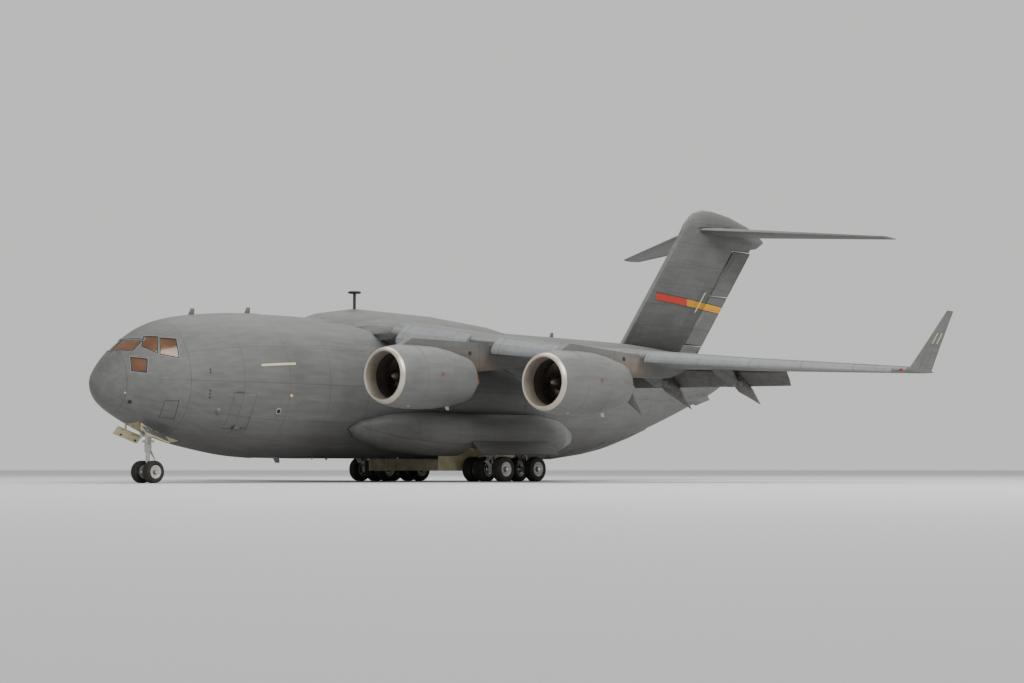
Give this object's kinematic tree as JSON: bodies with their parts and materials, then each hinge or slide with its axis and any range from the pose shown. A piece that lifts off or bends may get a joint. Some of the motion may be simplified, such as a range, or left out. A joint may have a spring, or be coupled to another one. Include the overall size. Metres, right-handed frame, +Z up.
{
  "type": "military transport plane, 1:2 scale model",
  "caption": "High-wing transport plane with fan engines under the wing, T tail, winglets, rear ramp and twin-row landing gear, standing on its wheels.",
  "frame": {"origin": "on the ground under the middle of the plane, between the gear", "axes": "+X towards the nose, +Y to port, +Z up"},
  "size_m": [26.52, 25.8648, 8.395],
  "materials": {
    "body_paint": "matt mid grey paint",
    "lip_metal": "bare satin aluminium lip with grey cowl behind",
    "fan_metal": "dark titanium blades",
    "gear_white": "gloss white gear paint",
    "tyre": "black rubber",
    "glazing": "amber coated glass",
    "cabin": "satin grey interior paint",
    "primer": "cream primer inside the gear doors"
  },
  "bodies": {
    "airframe": {"nose_section": "body_paint", "cockpit_glass": "glazing", "flight_deck": "cabin", "centre_section": "body_paint", "cargo_floor": "cabin", "aft_section": "body_paint", "wing_centre": "body_paint", "wing_left": "body_paint", "wing_right": "body_paint", "engine_inboard_left": "lip_metal", "engine_inboard_right": "lip_metal", "engine_outboard_left": "lip_metal", "engine_outboard_right": "lip_metal", "fin": "body_paint", "stabiliser": "body_paint", "pod_left": "body_paint", "pod_right": "body_paint", "main_door_inner_left": "primer", "main_door_inner_right": "primer", "main_door_outer_left": "primer", "main_door_outer_right": "primer", "nose_door_left": "primer", "nose_door_right": "primer", "main_strut_front_left": "gear_white", "main_strut_front_right": "gear_white", "main_strut_rear_left": "gear_white", "main_strut_rear_right": "gear_white", "nose_leg": "gear_white"},
    "crew_door": {"crew_door": "body_paint"},
    "ramp": {"ramp": "body_paint"},
    "cargo_door": {"cargo_door": "body_paint"},
    "flap_inboard_left": {"flap_inboard_left": "body_paint"},
    "flap_inboard_right": {"flap_inboard_right": "body_paint"},
    "flap_outboard_left": {"flap_outboard_left": "body_paint"},
    "flap_outboard_right": {"flap_outboard_right": "body_paint"},
    "aileron_left": {"aileron_left": "body_paint"},
    "aileron_right": {"aileron_right": "body_paint"},
    "fan_inboard_left": {"fan_inboard_left": "fan_metal"},
    "fan_inboard_right": {"fan_inboard_right": "fan_metal"},
    "fan_outboard_left": {"fan_outboard_left": "fan_metal"},
    "fan_outboard_right": {"fan_outboard_right": "fan_metal"},
    "rudder_lower": {"rudder_lower": "body_paint"},
    "rudder_upper": {"rudder_upper": "body_paint"},
    "elevator_left": {"elevator_left": "body_paint"},
    "elevator_right": {"elevator_right": "body_paint"},
    "main_wheels_front_left": {"main_wheels_front_left": "tyre"},
    "main_wheels_front_right": {"main_wheels_front_right": "tyre"},
    "main_wheels_rear_left": {"main_wheels_rear_left": "tyre"},
    "main_wheels_rear_right": {"main_wheels_rear_right": "tyre"},
    "nose_fork": {"nose_fork": "gear_white"},
    "nose_wheels": {"nose_wheels": "tyre"}
  },
  "joints": [
    {"name": "nose_steering", "type": "hinge", "parent": "airframe", "child": "nose_fork", "pos_m": [11.66, 0, 0.65], "axis": [0, 0, 1], "range_deg": [-65, 65]},
    {"name": "nose_wheel_spin", "type": "hinge", "parent": "nose_fork", "child": "nose_wheels", "pos_m": [11.66, 0, 0.254], "axis": [0, 1, 0], "continuous": true},
    {"name": "main_wheel_spin_front_left", "type": "hinge", "parent": "airframe", "child": "main_wheels_front_left", "pos_m": [2.435, 2.27, 0.3175], "axis": [0, 1, 0], "continuous": true},
    {"name": "main_wheel_spin_front_right", "type": "hinge", "parent": "airframe", "child": "main_wheels_front_right", "pos_m": [2.435, -2.27, 0.3175], "axis": [0, 1, 0], "continuous": true},
    {"name": "main_wheel_spin_rear_left", "type": "hinge", "parent": "airframe", "child": "main_wheels_rear_left", "pos_m": [1.185, 2.27, 0.3175], "axis": [0, 1, 0], "continuous": true},
    {"name": "main_wheel_spin_rear_right", "type": "hinge", "parent": "airframe", "child": "main_wheels_rear_right", "pos_m": [1.185, -2.27, 0.3175], "axis": [0, 1, 0], "continuous": true},
    {"name": "fan_spin_inboard_left", "type": "hinge", "parent": "airframe", "child": "fan_inboard_left", "pos_m": [7.31, 3.745, 2.45], "axis": [1, 0, 0], "continuous": true},
    {"name": "fan_spin_inboard_right", "type": "hinge", "parent": "airframe", "child": "fan_inboard_right", "pos_m": [7.31, -3.745, 2.45], "axis": [1, 0, 0], "continuous": true},
    {"name": "fan_spin_outboard_left", "type": "hinge", "parent": "airframe", "child": "fan_outboard_left", "pos_m": [5.51, 6.99, 2.27], "axis": [1, 0, 0], "continuous": true},
    {"name": "fan_spin_outboard_right", "type": "hinge", "parent": "airframe", "child": "fan_outboard_right", "pos_m": [5.51, -6.99, 2.27], "axis": [1, 0, 0], "continuous": true},
    {"name": "flap_hinge_inboard_left", "type": "hinge", "parent": "airframe", "child": "flap_inboard_left", "pos_m": [1.22944, 2.6, 2.58972], "axis": [-0.1054, 0.9931, -0.0512], "range_deg": [-3, 38]},
    {"name": "flap_hinge_inboard_right", "type": "hinge", "parent": "airframe", "child": "flap_inboard_right", "pos_m": [0.98683, -4.885, 2.47189], "axis": [0.1054, 0.9931, 0.0512], "range_deg": [-3, 38]},
    {"name": "flap_hinge_outboard_left", "type": "hinge", "parent": "airframe", "child": "flap_outboard_left", "pos_m": [0.63379, 6.225, 2.43092], "axis": [-0.2816, 0.9592, -0.0255], "range_deg": [-3, 38]},
    {"name": "flap_hinge_outboard_right", "type": "hinge", "parent": "airframe", "child": "flap_outboard_right", "pos_m": [0.0937, -8.065, 2.38205], "axis": [0.2816, 0.9592, 0.0255], "range_deg": [-3, 38]},
    {"name": "aileron_hinge_left", "type": "hinge", "parent": "airframe", "child": "aileron_left", "pos_m": [-0.22479, 9.38, 2.71864], "axis": [-0.2892, 0.9564, -0.0402], "range_deg": [-25, 25]},
    {"name": "aileron_hinge_right", "type": "hinge", "parent": "airframe", "child": "aileron_right", "pos_m": [-1.06852, -12.17, 2.60142], "axis": [0.2892, 0.9564, 0.0402], "range_deg": [-25, 25]},
    {"name": "elevator_hinge_left", "type": "hinge", "parent": "airframe", "child": "elevator_left", "pos_m": [-11.7553, 0.35, 7.70027], "axis": [-0.2583, 0.9637, -0.0681], "range_deg": [-20, 25]},
    {"name": "elevator_hinge_right", "type": "hinge", "parent": "airframe", "child": "elevator_right", "pos_m": [-12.96128, -4.85, 7.38224], "axis": [0.2583, 0.9637, 0.0681], "range_deg": [-20, 25]},
    {"name": "rudder_hinge_lower", "type": "hinge", "parent": "airframe", "child": "rudder_lower", "pos_m": [-8.84239, 0, 4.15], "axis": [-0.6555, 0, 0.7552], "range_deg": [-25, 25]},
    {"name": "rudder_hinge_upper", "type": "hinge", "parent": "airframe", "child": "rudder_upper", "pos_m": [-8.84239, 0, 4.15], "axis": [-0.6555, 0, 0.7552], "range_deg": [-25, 25]},
    {"name": "ramp_hinge", "type": "hinge", "parent": "airframe", "child": "ramp", "pos_m": [-1.82, 0, 0.6], "axis": [0, -1, 0], "range_deg": [0, 17]},
    {"name": "cargo_door_hinge", "type": "hinge", "parent": "airframe", "child": "cargo_door", "pos_m": [-7.528, 0, 2.075], "axis": [0, -1, 0], "range_deg": [0, 20]},
    {"name": "crew_door_hinge", "type": "hinge", "parent": "airframe", "child": "crew_door", "pos_m": [10.135, 1.2225, 1.246], "axis": [-1, 0, 0], "range_deg": [0, 110]}
  ]
}
